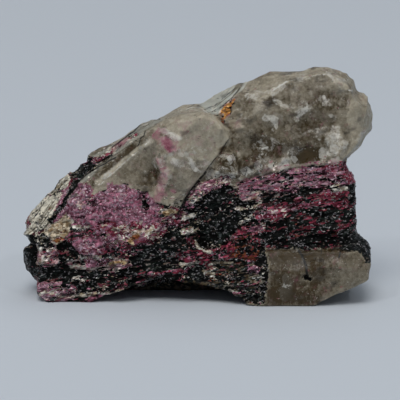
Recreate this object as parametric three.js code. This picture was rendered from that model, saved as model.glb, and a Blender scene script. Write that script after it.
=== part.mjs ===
// A hand-sized piece of raw lepidolite in its rock, in millimetres, +Z up and front towards -Y.
// The stone is one intergrown solid: a smoky quartz slab leans over a foliated band of pink lepidolite mica
// and black tourmaline, a wedge with a quartz lobe stands in front of it on the left, and a lower quartz
// lump and a left foot carry the piece over a shallow hollow. Each of these masses is a block with an
// outline drawn in the front elevation (x, z) and a front and a back surface over it. The stone is the
// union of the blocks, broken by flat and shell-like fractures and roughened by noise.
import * as THREE from "three";
import { ImprovedNoise } from "three/addons/math/ImprovedNoise.js";

// Size of the sampling lattice that the surface is drawn from, and the room that it samples.
const CELL = 1.9;
const LOW_CORNER = [-47.3, -20.6, -2.85];
const HIGH_CORNER = [46.5, 27.5, 59.8];

// The roughness of the broken surfaces: how far the blocks wander, and how far the fractures do. CHIPPED is
// how much the broken rims have lost all round.
const WANDER = 1.1;
const ROUGH = 0.9;
const CHIPPED = 0.25;

const noise = new ImprovedNoise();
const clamp = (v, low, high) => Math.min(high, Math.max(low, v));
const bump = (x, z, cx, cz, rx, rz) => Math.exp(-(((x - cx) / rx) ** 2) - ((z - cz) / rz) ** 2);
// A step from 0 to 1 as v passes 0, as wide as a broken edge.
const ledge = (v) => clamp(v / 1.6 + 0.5, 0, 1);

// Signed distance from (x, z) to a closed outline, negative inside.
function outlineDistance(outline, x, z) {
  let best = Infinity;
  let inside = false;
  for (let i = 0, j = outline.length - 1; i < outline.length; j = i++) {
    const [ax, az] = outline[j];
    const [bx, bz] = outline[i];
    const ex = bx - ax;
    const ez = bz - az;
    const t = clamp(((x - ax) * ex + (z - az) * ez) / (ex * ex + ez * ez), 0, 1);
    best = Math.min(best, Math.hypot(x - ax - ex * t, z - az - ez * t));
    if (bz > z !== az > z && x < ax + ((z - az) / (bz - az)) * ex) inside = !inside;
  }
  return inside ? -best : best;
}

// The blocks. waist is the depth at which a block reaches its outline; frontTaper and backTaper are how much
// the outline shrinks for each millimetre of depth in front of and behind the waist. Each break is a flat
// fracture of that block alone, through a point, with its outward direction.
const blocks = [
  {
    name: "quartz slab",
    outline: [
      [-19.5, 37], [-12, 42], [-9, 42], [-4, 44.3], [0, 45.8], [4, 48.3], [8, 50.5], [10, 51.6], [11, 51],
      [14.5, 52.6], [17, 54], [24, 54.2], [27.5, 55.2], [32, 54.8], [35, 53.7], [37.6, 51.8], [38.2, 49.2],
      [41.2, 48.6], [42.2, 46.8], [43.8, 43.5], [42.8, 39.5], [39.8, 36], [38.6, 34], [36, 31.8], [35, 28],
      [31.5, 20], [0, 10], [-19.5, 14.5],
    ],
    waist: 4,
    frontTaper: 0.26,
    backTaper: 0.3,
    front: (x, z) => -8.6 + 0.2 * Math.max(0, z - 31) + 0.16 * Math.max(0, x - 26),
    back: (x, z) => 17 - 0.24 * Math.max(0, z - 30),
    breaks: [
      { through: [22, -3.2, 51], towards: [-0.08, -0.62, 0.78] },
      { through: [12, -4.6, 46.5], towards: [-0.4, -0.8, 0.42] },
      { through: [43, 0, 40], towards: [0.75, -0.62, 0.05] },
      { through: [30, 12, 42], towards: [0.45, 0.85, 0.25] },
    ],
  },
  {
    name: "quartz knob",
    outline: [[2, 29], [3.5, 35.5], [5.5, 37.6], [8, 37.3], [9.3, 34.5], [9.4, 29]],
    waist: -7,
    frontTaper: 0.5,
    backTaper: 0,
    front: () => -10.6,
    back: () => 2,
    breaks: [],
  },
  {
    name: "mica block",
    outline: [
      [35, 33.5], [35, 31.8], [37.7, 29.3], [37.8, 22.5], [38, 15], [37.5, 6], [13.5, 0], [-7.5, 4],
      [-22, 6.5], [-24, 23.5], [0, 30.5], [14.5, 31.6],
    ],
    waist: -2,
    frontTaper: 0.12,
    backTaper: 0.12,
    front: (x, z) => -12.2 + 0.1 * (z - 12) + 2.2 * bump(x, z, 1, 17, 8, 7) + 0.05 * Math.max(0, x - 15),
    back: (x, z) =>
      21 - 3.2 * ledge(z - 10 - 0.12 * x - 1.5 * Math.sin(x / 6)) - 3.4 * ledge(z - 22 - 0.2 * x - 1.5 * Math.sin(x / 8)),
    breaks: [
      { through: [20, -9.6, 30.5], towards: [0.05, -0.75, 0.65] },
      { through: [37.2, -7, 22], towards: [0.9, -0.42, 0.05] },
      { through: [34, 15, 18], towards: [0.8, 0.6, 0.1] },
    ],
  },
  {
    name: "lower quartz",
    outline: [
      [37.5, 15.5], [40, 14.2], [41.8, 12.7], [42, 10], [41.4, 8.3], [41.4, 5.6], [36.5, 2.6], [31.5, 0.6],
      [27, -2], [14.5, -3], [11, -1], [5.5, 2.5], [3, 4.5], [7, 11], [15, 14.5],
    ],
    waist: -5,
    frontTaper: 0.14,
    backTaper: 0.1,
    front: (x, z) => -15.2 - 0.07 * (z - 6) + 0.006 * (x - 24) ** 2,
    back: () => 12,
    breaks: [{ through: [34, -13, 2.5], towards: [0.35, -0.55, -0.75] }],
  },
  {
    name: "left wedge",
    outline: [
      [-43.2, 18], [-40.7, 21], [-37.7, 24.5], [-34.2, 28], [-29.7, 32], [-28.2, 33], [-28.2, 34.2],
      [-26.6, 35.6], [-21.5, 38], [-16.5, 40.7], [-13.5, 42.7], [-12, 43.2], [-9, 42.8], [-4.5, 44.3],
      [0, 44], [-4, 22], [-6, 18.5], [-9.5, 14], [-19, 10.5], [-33.5, 10], [-41.5, 12],
    ],
    waist: -1,
    frontTaper: 0.2,
    backTaper: 0.4,
    front: (x, z) =>
      -13 + 0.17 * Math.max(0, z - 16) - 0.09 * (x + 10) + 1.3 * bump(x, z, -14, 33, 7, 4) -
      0.8 * bump(x, z, -20, 23, 9, 5),
    back: () => 11,
    breaks: [{ through: [-27, -5, 31.5], towards: [-0.58, -0.42, 0.7] }],
  },
  {
    name: "quartz lobe",
    outline: [
      [-12, 42], [-4, 46], [1, 46.2], [3.5, 44.4], [5.5, 42.5], [7.2, 39.5], [6.2, 37], [3.7, 33.5],
      [1.2, 30], [-1.8, 26], [-3.8, 22], [-9, 23], [-12, 34],
    ],
    waist: -8.5,
    frontTaper: 0.55,
    backTaper: 0,
    front: (x, z) => -12.8 + 0.016 * ((x + 2) ** 2 + (z - 36) ** 2) + 0.1 * Math.max(0, z - 36),
    back: () => 3,
    breaks: [],
  },
  {
    name: "left foot",
    outline: [
      [-39.5, 20], [-39.5, 5], [-40, 1.5], [-36, -1], [-27.5, -1], [-20, 1.5], [-14.5, 3.5], [-7, 5],
      [1, 4.5], [4, 14], [-20, 20],
    ],
    waist: -8,
    frontTaper: 0.15,
    backTaper: 0.05,
    front: (x, z) =>
      -11.6 - 0.04 * (x + 20) + 1.2 * ledge(z - 5 - Math.sin(x / 3.7)) - 1.4 * ledge(z - 9 - 1.3 * Math.sin(x / 5.3)) +
      1.6 * bump(x, z, -33, 14, 4, 2.6),
    back: () => 6,
    breaks: [],
  },
  {
    name: "left end",
    outline: [
      [-43, 18], [-42.6, 14], [-42, 12.5], [-42, 11.5], [-43.7, 11], [-43.7, 7], [-43, 4.5], [-41, 2],
      [-36, -1], [-22, -1], [-10, 8], [-14, 34], [-28, 28],
    ],
    waist: 1,
    frontTaper: 0.6,
    backTaper: 0.35,
    front: () => -8,
    back: (x, z) => 13 - 2.5 * ledge(z - 10),
    breaks: [],
  },
  {
    name: "rear layers",
    outline: [
      [-30, 29], [-14, 36], [10, 38], [32, 35], [35, 20], [37, 8], [32, -2], [-32, -2], [-39, 8], [-37, 20],
    ],
    waist: 6,
    frontTaper: 0.2,
    backTaper: 0.3,
    front: (x) => 1 + 0.1 * Math.abs(x),
    back: (x, z) => 18.5 - 4.5 * ledge(z - 16 - 0.2 * x - 2 * Math.sin(x / 7)),
    breaks: [],
  },
  {
    name: "rear quartz",
    outline: [
      [-22, 29], [-21, 35], [-12, 40.2], [-4, 42.8], [12, 48], [29, 49.5], [36, 42], [36, 28], [4, 25], [-14, 26],
    ],
    waist: 8,
    frontTaper: 0.05,
    backTaper: 0.7,
    front: () => -4,
    back: (x) => 19 + 0.05 * x,
    breaks: [
      { through: [26, 15, 40], towards: [0.5, 0.8, 0.35] },
      { through: [-4, 14, 34], towards: [-0.45, 0.85, 0.3] },
    ],
  },
  {
    name: "rear lump",
    outline: [[-27, -2], [-30, 4], [-25, 12], [-10, 17], [6, 15], [14, 7], [10, -2]],
    waist: 14,
    frontTaper: 0,
    backTaper: 0.8,
    front: () => 0,
    back: (x, z) => 24 - 0.012 * (x + 6) ** 2 - 0.02 * (z - 8) ** 2,
    breaks: [{ through: [-22, 18, 6], towards: [-0.6, 0.8, 0.15] }],
  },
].map((block) => ({ ...block, breaks: block.breaks.map(planeOf) }));

// Flat fractures that break the whole stone.
const fractures = [
  { through: [-26, 12, 16], towards: [-0.5, 0.85, 0.15] },
  { through: [10, 13, 48], towards: [0.1, 0.72, 0.68] },
  { through: [35, 14, 24], towards: [0.78, 0.62, 0.08] },
  { through: [20, 19, 3], towards: [0.2, 0.82, -0.57] },
  { through: [-24, 6, 35], towards: [-0.5, 0.5, 0.7] },
].map(planeOf);

// Shell-like fractures: hollows scooped from the stone by large balls.
const scoops = [
  { centre: [20, -62, 38], radius: 55.2 },
  { centre: [18, 40, 45], radius: 28 },
  { centre: [-24, 38, 27], radius: 26.5 },
  { centre: [34, 36, 16], radius: 20.5 },
  { centre: [56, 26, 38], radius: 24 },
];

function planeOf({ through, towards }) {
  const normal = new THREE.Vector3(...towards).normalize();
  return { normal, at: normal.dot(new THREE.Vector3(...through)) };
}

const beyond = (plane, x, y, z) => plane.normal.x * x + plane.normal.y * y + plane.normal.z * z - plane.at;

function blockField(block, x, y, z) {
  const taper = y < block.waist ? (block.waist - y) * block.frontTaper : (y - block.waist) * block.backTaper;
  let f = Math.max(outlineDistance(block.outline, x, z) + CHIPPED + taper, block.front(x, z) - y, y - block.back(x, z));
  for (const plane of block.breaks) f = Math.max(f, beyond(plane, x, y, z));
  return f;
}

// Negative inside the stone.
function stoneField(x, y, z) {
  const wx = x + 0.7 * WANDER * noise.noise(x / 9, y / 9 + 3.3, z / 9);
  const wz = z + 0.7 * WANDER * noise.noise(x / 9 + 7.1, y / 9, z / 9);
  const wy = y + WANDER * noise.noise(x / 8, y / 8, z / 6 + 5.7);
  let f = Infinity;
  for (const block of blocks) f = Math.min(f, blockField(block, wx, wy, wz));
  const rough = ROUGH * noise.noise(x / 7, y / 7, z / 5);
  for (const plane of fractures) f = Math.max(f, beyond(plane, x, y, z) + rough);
  for (const { centre, radius } of scoops)
    f = Math.max(f, radius - Math.hypot(x - centre[0], y - centre[1], z - centre[2]) + 0.5 * rough);
  return Math.max(f, -z);
}

// Dual contouring: one vertex in each lattice cell that the surface passes, at the point that best fits the
// surface's tangent planes there, and one quad round each lattice edge that it crosses.
function contour(field) {
  const count = LOW_CORNER.map((low, k) => Math.ceil((HIGH_CORNER[k] - low) / CELL) + 1);
  const [nx, ny, nz] = count;
  const index = (i, j, k) => (k * ny + j) * nx + i;
  const place = (i, j, k) => [LOW_CORNER[0] + i * CELL, LOW_CORNER[1] + j * CELL, LOW_CORNER[2] + k * CELL];
  const values = new Float64Array(nx * ny * nz);
  for (let k = 0; k < nz; k++)
    for (let j = 0; j < ny; j++) for (let i = 0; i < nx; i++) values[index(i, j, k)] = field(...place(i, j, k));

  const corners = [];
  for (let c = 0; c < 8; c++) corners.push([c & 1, (c >> 1) & 1, (c >> 2) & 1]);
  const edges = [];
  for (let a = 0; a < 8; a++) for (const bit of [1, 2, 4]) if (!(a & bit)) edges.push([a, a | bit]);

  // Fills lattice points until each cell's inside and outside corners each hang together along its edges,
  // so that the surface is one sheet in every cell.
  const joined = (corner) => {
    const reached = [corner[0]];
    for (const c of reached)
      for (const bit of [1, 2, 4]) if (corner.includes(c ^ bit) && !reached.includes(c ^ bit)) reached.push(c ^ bit);
    return reached.length === corner.length;
  };
  for (let changed = true; changed; ) {
    changed = false;
    for (let k = 0; k < nz - 1; k++)
      for (let j = 0; j < ny - 1; j++)
        for (let i = 0; i < nx - 1; i++) {
          const at = corners.map(([a, b, c]) => index(i + a, j + b, k + c));
          const inside = [0, 1, 2, 3, 4, 5, 6, 7].filter((c) => values[at[c]] < 0);
          const outside = [0, 1, 2, 3, 4, 5, 6, 7].filter((c) => values[at[c]] >= 0);
          if (!inside.length || !outside.length || (joined(inside) && joined(outside))) continue;
          const nearest = outside.reduce((a, b) => (values[at[a]] < values[at[b]] ? a : b));
          values[at[nearest]] = -0.05;
          changed = true;
        }
  }

  const slope = (p) => {
    const h = 0.15;
    const g = [0, 1, 2].map((axis) => {
      const a = [...p];
      const b = [...p];
      a[axis] += h;
      b[axis] -= h;
      return field(...a) - field(...b);
    });
    const length = Math.hypot(...g) || 1;
    return g.map((v) => v / length);
  };

  const positions = [];
  const vertexOf = new Int32Array(nx * ny * nz).fill(-1);
  for (let k = 0; k < nz - 1; k++)
    for (let j = 0; j < ny - 1; j++)
      for (let i = 0; i < nx - 1; i++) {
        const at = corners.map(([a, b, c]) => index(i + a, j + b, k + c));
        const crossed = edges.filter(([a, b]) => values[at[a]] < 0 !== values[at[b]] < 0);
        if (!crossed.length) continue;
        const cell = place(i, j, k);
        const points = crossed.map(([a, b]) => {
          const t = values[at[a]] / (values[at[a]] - values[at[b]]);
          return [0, 1, 2].map((axis) => cell[axis] + CELL * (corners[a][axis] + t * (corners[b][axis] - corners[a][axis])));
        });
        vertexOf[index(i, j, k)] = positions.length / 3;
        const [px, py, pz] = bestFit(points, points.map(slope), cell);
        positions.push(px, py, Math.max(0, pz));
      }

  const triangles = [];
  const quad = (a, b, c, d) => {
    const at = (v) => new THREE.Vector3().fromArray(positions, 3 * v);
    if (at(a).distanceTo(at(c)) < at(b).distanceTo(at(d))) triangles.push(a, b, c, a, c, d);
    else triangles.push(a, b, d, b, c, d);
  };
  for (let k = 1; k < nz - 1; k++)
    for (let j = 1; j < ny - 1; j++)
      for (let i = 1; i < nx - 1; i++) {
        const here = values[index(i, j, k)] < 0;
        const ring = [
          [here !== values[index(i + 1, j, k)] < 0, [0, -1, -1], [0, 0, -1], [0, 0, 0], [0, -1, 0]],
          [here !== values[index(i, j + 1, k)] < 0, [-1, 0, -1], [-1, 0, 0], [0, 0, 0], [0, 0, -1]],
          [here !== values[index(i, j, k + 1)] < 0, [-1, -1, 0], [0, -1, 0], [0, 0, 0], [-1, 0, 0]],
        ];
        for (const [crossed, ...cells] of ring) {
          if (!crossed) continue;
          const around = cells.map(([a, b, c]) => vertexOf[index(i + a, j + b, k + c)]);
          quad(...(here ? around : around.reverse()));
        }
      }
  const geometry = new THREE.BufferGeometry();
  geometry.setAttribute("position", new THREE.Float32BufferAttribute(positions, 3));
  geometry.setIndex(triangles);
  return geometry;
}

// The point that minimises its distances to the tangent planes, pulled weakly to the points' middle.
function bestFit(points, normals, cell) {
  const PULL = 0.12;
  const MARGIN = 0.06 * CELL;
  const middle = [0, 1, 2].map((axis) => points.reduce((sum, p) => sum + p[axis], 0) / points.length);
  const m = [PULL, 0, 0, 0, PULL, 0, 0, 0, PULL];
  const r = [0, 0, 0];
  normals.forEach((n, s) => {
    const reach = n[0] * (points[s][0] - middle[0]) + n[1] * (points[s][1] - middle[1]) + n[2] * (points[s][2] - middle[2]);
    for (let a = 0; a < 3; a++) {
      for (let b = 0; b < 3; b++) m[3 * a + b] += n[a] * n[b];
      r[a] += n[a] * reach;
    }
  });
  const solved = new THREE.Vector3(...r).applyMatrix3(new THREE.Matrix3().set(...m).invert()).toArray();
  return solved.map((v, axis) => clamp(v + middle[axis], cell[axis] + MARGIN, cell[axis] + CELL - MARGIN));
}

// The stone rests on its lowest points, and its origin is the middle of its footprint on the table.
const surface = contour(stoneField);
surface.computeBoundingBox();
const middle = surface.boundingBox.getCenter(new THREE.Vector3());
surface.translate(-middle.x, -middle.y, 0);

const specimen = new THREE.Group();
const stone = new THREE.Mesh(
  surface,
  new THREE.MeshStandardMaterial({ color: 0x6e5a5c, roughness: 0.55, metalness: 0 }),
);
stone.name = "lepidolite_rock";
specimen.add(stone);

export default specimen;
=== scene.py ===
# Raw lepidolite in its rock: smoky quartz over pink lepidolite mica and black tourmaline, on a pale floor.
# The stone starts as the solid's own surface. Its fine relief is cut in code, and its minerals are grains in the
# shader, whose mix is painted on the mesh. Helpers work in millimetres, and Blender's own lengths are metres.
import math
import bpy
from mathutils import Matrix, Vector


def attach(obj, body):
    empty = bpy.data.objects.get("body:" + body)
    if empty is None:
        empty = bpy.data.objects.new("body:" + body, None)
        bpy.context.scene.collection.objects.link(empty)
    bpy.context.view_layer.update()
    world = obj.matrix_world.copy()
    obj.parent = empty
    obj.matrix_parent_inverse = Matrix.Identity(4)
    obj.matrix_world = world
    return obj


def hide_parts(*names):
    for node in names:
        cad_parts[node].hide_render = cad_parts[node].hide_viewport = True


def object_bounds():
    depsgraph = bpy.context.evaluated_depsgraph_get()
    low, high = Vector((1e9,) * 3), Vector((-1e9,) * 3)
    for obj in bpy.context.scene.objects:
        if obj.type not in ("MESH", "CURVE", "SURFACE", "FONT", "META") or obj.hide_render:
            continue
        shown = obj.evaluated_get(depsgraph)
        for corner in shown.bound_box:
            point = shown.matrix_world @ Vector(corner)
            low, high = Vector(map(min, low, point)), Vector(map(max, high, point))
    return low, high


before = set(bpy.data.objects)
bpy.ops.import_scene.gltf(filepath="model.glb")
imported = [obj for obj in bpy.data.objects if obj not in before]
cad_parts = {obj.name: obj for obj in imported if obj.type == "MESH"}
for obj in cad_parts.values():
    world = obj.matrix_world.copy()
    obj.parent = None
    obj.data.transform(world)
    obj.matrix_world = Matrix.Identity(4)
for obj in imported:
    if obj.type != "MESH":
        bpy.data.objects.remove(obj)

import types
import bmesh
import bpy
import numpy as np
from mathutils import Vector

cad_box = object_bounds()
scene = bpy.context.scene
rng = np.random.default_rng(41)

# ---------------------------------------------------------------- camera, light and floor
ELEVATION = math.radians(12)
DISTANCE = 450.0        # from the camera to TARGET
TARGET = np.array([0.39, -4.21, 22.8])
SQUARE = 0.242          # one square of the front drawing at TARGET; the drawing is 400 squares each way
MIDDLE = 200            # where TARGET lies on the drawing, across and down
LENS = 167.4            # takes in the whole drawing on a sensor as wide as SENSOR
SENSOR = 36
TO_CAMERA = (0, -math.cos(ELEVATION), math.sin(ELEVATION))
SKY = (0.80, 0.88, 1.0)
SKY_STRENGTH = 0.2

camera = bpy.data.objects.new("camera", bpy.data.cameras.new("camera"))
scene.collection.objects.link(camera)
camera.data.lens = LENS
camera.data.sensor_width = SENSOR
camera.data.clip_start = 0.01
camera.data.clip_end = 20
camera.location = Vector(TARGET / 1000) + Vector(TO_CAMERA) * DISTANCE / 1000
camera.rotation_euler = (-Vector(TO_CAMERA)).to_track_quat("-Z", "Y").to_euler()
scene.camera = camera
scene.view_settings.view_transform = "Standard"


def add_light(name, kind, energy, colour, come_from, place=(0, 0, 0), **settings):
    """A light at place, whose light comes from the direction come_from."""
    data = bpy.data.lights.new(name, kind)
    data.energy = energy
    data.color = colour
    for key, value in settings.items():
        setattr(data, key, value)
    light = bpy.data.objects.new(name, data)
    scene.collection.objects.link(light)
    light.location = place
    light.rotation_euler = Vector(come_from).to_track_quat("Z", "Y").to_euler()


add_light("window", "SUN", 1.36, (1.0, 0.98, 0.95), (-0.10, -0.48, 0.86), angle=math.radians(30))
add_light("ceiling", "SUN", 0.42, (0.95, 0.98, 1.0), (0.1, 0.25, 1.0), angle=math.radians(60))
for name, place, colour in [("spark left", (-0.5, -0.7, 0.8), (1.0, 0.99, 0.97)),
                            ("spark right", (0.5, -0.7, 0.75), (0.96, 0.98, 1.0))]:
    add_light(name, "AREA", 0.9, colour, Vector(place) - Vector((0, 0, 0.02)), place, shape="DISK", size=0.06)

world = bpy.data.worlds.new("room")
world.use_nodes = True
world.node_tree.nodes["Background"].inputs["Color"].default_value = (*SKY, 1)
world.node_tree.nodes["Background"].inputs["Strength"].default_value = SKY_STRENGTH
scene.world = world


# ---------------------------------------------------------------- node helpers
class Tree:
    """Short names for making shader nodes."""

    def __init__(self, name):
        self.material = bpy.data.materials.new(name)
        self.material.use_nodes = True
        self.nodes = self.material.node_tree.nodes
        self.links = self.material.node_tree.links
        self.nodes.clear()
        self.output = self.nodes.new("ShaderNodeOutputMaterial")

    def put(self, socket, value):
        if isinstance(value, bpy.types.NodeSocket):
            self.links.new(value, socket)
        elif isinstance(value, (tuple, list)) and len(value) == 3 and socket.type == "RGBA":
            socket.default_value = (*value, 1)
        else:
            socket.default_value = value

    def node(self, kind, out=0, inputs=None, **settings):
        n = self.nodes.new(kind)
        for key, value in settings.items():
            setattr(n, key, value)
        for key, value in (inputs or {}).items():
            self.put(n.inputs[key], value)
        return n.outputs[out]

    def math(self, operation, a, b=0.0, c=0.0, clamp=False):
        return self.node("ShaderNodeMath", operation=operation, use_clamp=clamp, inputs={0: a, 1: b, 2: c})

    def add(self, *terms):
        total = terms[0]
        for term in terms[1:]:
            total = self.math("ADD", total, term)
        return total

    def times(self, *factors):
        product = factors[0]
        for factor in factors[1:]:
            product = self.math("MULTIPLY", product, factor)
        return product

    def minus(self, a, b, clamp=False):
        return self.math("SUBTRACT", a, b, clamp=clamp)

    def swing(self, value, reach):
        """A value from 0 to 1 as one from -reach to reach."""
        return self.math("MULTIPLY_ADD", value, 2 * reach, -reach)

    def vector(self, operation, a, b=(0, 0, 0), scale=1.0):
        inputs = {0: a, "Scale": scale} if operation == "SCALE" else {0: a, 1: b}
        return self.node("ShaderNodeVectorMath", operation=operation, inputs=inputs)

    def scaled(self, a, scale):
        return self.vector("SCALE", a, scale=scale)

    def centred(self, colour):
        """A random colour as a random direction."""
        return self.vector("SUBTRACT", colour, (0.5, 0.5, 0.5))

    def leaning(self, where, degrees, stretch):
        """Places at which a texture comes out stretched, with its layers climbing to the right."""
        inputs = {"Vector": where, "Rotation": (0, math.radians(-degrees), 0), "Scale": stretch}
        return self.node("ShaderNodeMapping", vector_type="TEXTURE", inputs=inputs)

    def squeezed(self, where, scale):
        return self.node("ShaderNodeMapping", inputs={"Vector": where, "Scale": scale})

    def mix(self, factor, a, b):
        n = self.nodes.new("ShaderNodeMix")
        n.data_type = "RGBA"
        for socket, value in ((n.inputs["Factor"], factor), (n.inputs[6], a), (n.inputs[7], b)):
            self.put(socket, value)
        return n.outputs[2]

    def blend(self, factor, a, b):
        n = self.nodes.new("ShaderNodeMix")
        n.data_type = "FLOAT"
        for socket, value in ((n.inputs["Factor"], factor), (n.inputs[2], a), (n.inputs[3], b)):
            self.put(socket, value)
        return n.outputs[0]

    def noise(self, where, scale, detail=3.0, rough=0.55, out="Fac"):
        inputs = {"Vector": where, "Scale": scale, "Detail": detail, "Roughness": rough}
        return self.node("ShaderNodeTexNoise", out=out, inputs=inputs)

    def grains(self, where, scale, out="Color"):
        return self.node("ShaderNodeTexVoronoi", out=out, inputs={"Vector": where, "Scale": scale})

    def ramp(self, factor, low, high, a=0.0, b=1.0, kind="SMOOTHSTEP"):
        inputs = {0: factor, 1: low, 2: high, 3: a, 4: b}
        return self.node("ShaderNodeMapRange", inputs=inputs, interpolation_type=kind)

    def attribute(self, name, out="Fac"):
        return self.node("ShaderNodeAttribute", out=out, attribute_name=name)

    def part(self, colour, k):
        return self.node("ShaderNodeSeparateColor", out=k, inputs={0: colour})

    def parts(self, colour):
        return [self.part(colour, k) for k in range(3)]

    def bump(self, height, strength, distance, **more):
        inputs = {"Strength": strength, "Distance": distance, "Height": height, **more}
        return self.node("ShaderNodeBump", inputs=inputs)

    def shader(self, colour, roughness, specular=None, normal=None):
        """The material's one shader."""
        node = self.nodes.new("ShaderNodeBsdfPrincipled")
        for name, value in (("Base Color", colour), ("Roughness", roughness),
                            ("Specular IOR Level", specular), ("Normal", normal)):
            if value is not None:
                self.put(node.inputs[name], value)
        self.links.new(node.outputs[0], self.output.inputs["Surface"])
        return node


def srgb(r, g, b):
    """A colour written as 0 to 255 screen values, as linear light."""
    return tuple(((c / 255 + 0.055) / 1.055) ** 2.4 if c > 10 else c / 255 / 12.92 for c in (r, g, b))


# ---------------------------------------------------------------- numbers over the stone
AROUND = [(i, j, k) for i in (-1, 0, 1) for j in (-1, 0, 1) for k in (-1, 0, 1)]


def hashed(cell, seed):
    """A repeatable number from 0 to 1 for each whole-number place (rows of three)."""
    c = cell.astype(np.int64)
    n = (c[:, 0] * 73856093) ^ (c[:, 1] * 19349663) ^ (c[:, 2] * 83492791) ^ (seed * 265443576)
    n = (n ^ (n >> 13)) * 1274126177
    n = (n ^ (n >> 16)) * 668265263
    return ((n >> 8) & 0xFFFFFF) / float(0x1000000)


def three_hashed(cell, seed):
    return np.stack([hashed(cell, seed + k) for k in range(3)], axis=1)


def wavy(p, size, seed):
    """Smooth noise from -1 to 1 with features of this size; size may be three numbers."""
    q = p / np.asarray(size) + 17.3 * seed
    base = np.floor(q)
    t = q - base
    t = t * t * t * (t * (t * 6 - 15) + 10)
    total = np.zeros(len(p))
    for corner in range(8):
        step = np.array([corner & 1, corner >> 1 & 1, corner >> 2 & 1])
        weight = np.prod(np.where(step, t, 1 - t), axis=1)
        total += weight * hashed(base + step, seed)
    return total * 2 - 1


def rough(p, size, seed, octaves=3):
    """Several sizes of noise on one another, from about -1 to 1."""
    size = np.asarray(size, float)
    total = sum(wavy(p, size / 2.1**k, seed + 7 * k) * 0.5**k for k in range(octaves))
    return total / (2 - 0.5 ** (octaves - 1))


def cells(p, size, seed):
    """For the nearest of scattered points: how much further away the next one is, and the cell that it is in."""
    q = p / np.asarray(size)
    base = np.floor(q)
    near = np.full(len(p), 9.0)
    second = np.full(len(p), 9.0)
    where = np.zeros_like(q)
    for step in AROUND:
        cell = base + step
        d = np.linalg.norm(cell + three_hashed(cell, seed) - q, axis=1)
        closer = d < near
        second = np.where(closer, near, np.minimum(second, d))
        near = np.where(closer, d, near)
        where[closer] = cell[closer]
    return second - near, where


def dishes(p, size, seed, bowl=0.55, tilt=0.5):
    """Heights from about 0 to 1 of shallow tilted dishes that meet in ridges, as shell-like fractures do."""
    q = p / np.asarray(size)
    base = np.floor(q)
    height = np.full(len(p), 9.0)
    for step in AROUND:
        cell = base + step
        way = q - cell - three_hashed(cell, seed)
        slope = (three_hashed(cell, seed + 3) - 0.5) * 2 * tilt
        dish = bowl * np.sum(way * way, axis=1) + np.sum(way * slope, axis=1)
        height = np.minimum(height, dish + 0.4 * hashed(cell, seed + 6))
    return height


def smooth(v, low, high):
    t = np.clip((v - low) / (high - low), 0, 1)
    return t * t * (3 - 2 * t)


# ---------------------------------------------------------------- the front drawing
# Outlines and lines are written as "across,down across,down ..." in squares from the drawing's top left corner.
def drawn(p):
    """Where points in millimetres lie on the front drawing."""
    d = p - TARGET
    c, s = math.cos(ELEVATION), math.sin(ELEVATION)
    reach = DISTANCE / (DISTANCE + d[:, 1] * c - d[:, 2] * s) / SQUARE
    return MIDDLE + d[:, 0] * reach, MIDDLE - (d[:, 1] * s + d[:, 2] * c) * reach


def edges_of(outline, closed):
    a = np.array([pair.split(",") for pair in outline.split()], float)
    b = np.roll(a, -1, axis=0)
    return (a, b) if closed else (a[:-1], b[:-1])


def depth_in(outline, u, v, width=0):
    """How far inside an outline each place is, in squares; with a width, inside a band along a line."""
    near = np.full(len(u), 1e9)
    within = np.zeros(len(u), bool)
    for (ax, ay), (bx, by) in zip(*edges_of(outline, closed=not width)):
        ex, ey = bx - ax, by - ay
        t = np.clip(((u - ax) * ex + (v - ay) * ey) / (ex * ex + ey * ey + 1e-9), 0, 1)
        near = np.minimum(near, np.hypot(u - ax - t * ex, v - ay - t * ey))
        if not width:
            crosses = (ay > v) != (by > v)
            at = ax + (v - ay) / (by - ay if by != ay else 1e-9) * ex
            within ^= crosses & (u < at)
    return width / 2 - near if width else np.where(within, near, -near)


def wandering(p, u, v, size, seed, reach):
    """The places u, v of points p moved about by noise of this size, so that outlines come out ragged."""
    return u + rough(p, size, seed) * reach, v + rough(p, size, seed + 2) * reach


# What is painted on the stone: glass is quartz, tone its lightness and veil its white flaws. black tourmaline,
# cream feldspar, red and rust stains are shares of the rest, and what is left of 1 is pink mica, paler by blush;
# blush also stains quartz pink. plate is thin bright layers seen edge on, calm how flat a face has broken, and
# streak how many grains are drawn out along the layers.
GRAINS = ["black", "cream", "red", "rust"]
LOOKS = ["glass", "tone", "veil", "blush", "plate", "calm", "streak"]
PLAIN_TONE = 0.5


def zone(name, outline, soft, width=0, **painted):
    """Inside an outline, or along a line of this width, with an edge of this softness. name is for readers."""
    return outline, width, soft, painted


def quartz(name, outline, soft, tone, calm=0, **looks):
    """A zone of nothing but quartz."""
    return zone(name, outline, soft, glass=1, tone=tone, calm=calm, **looks)


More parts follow.
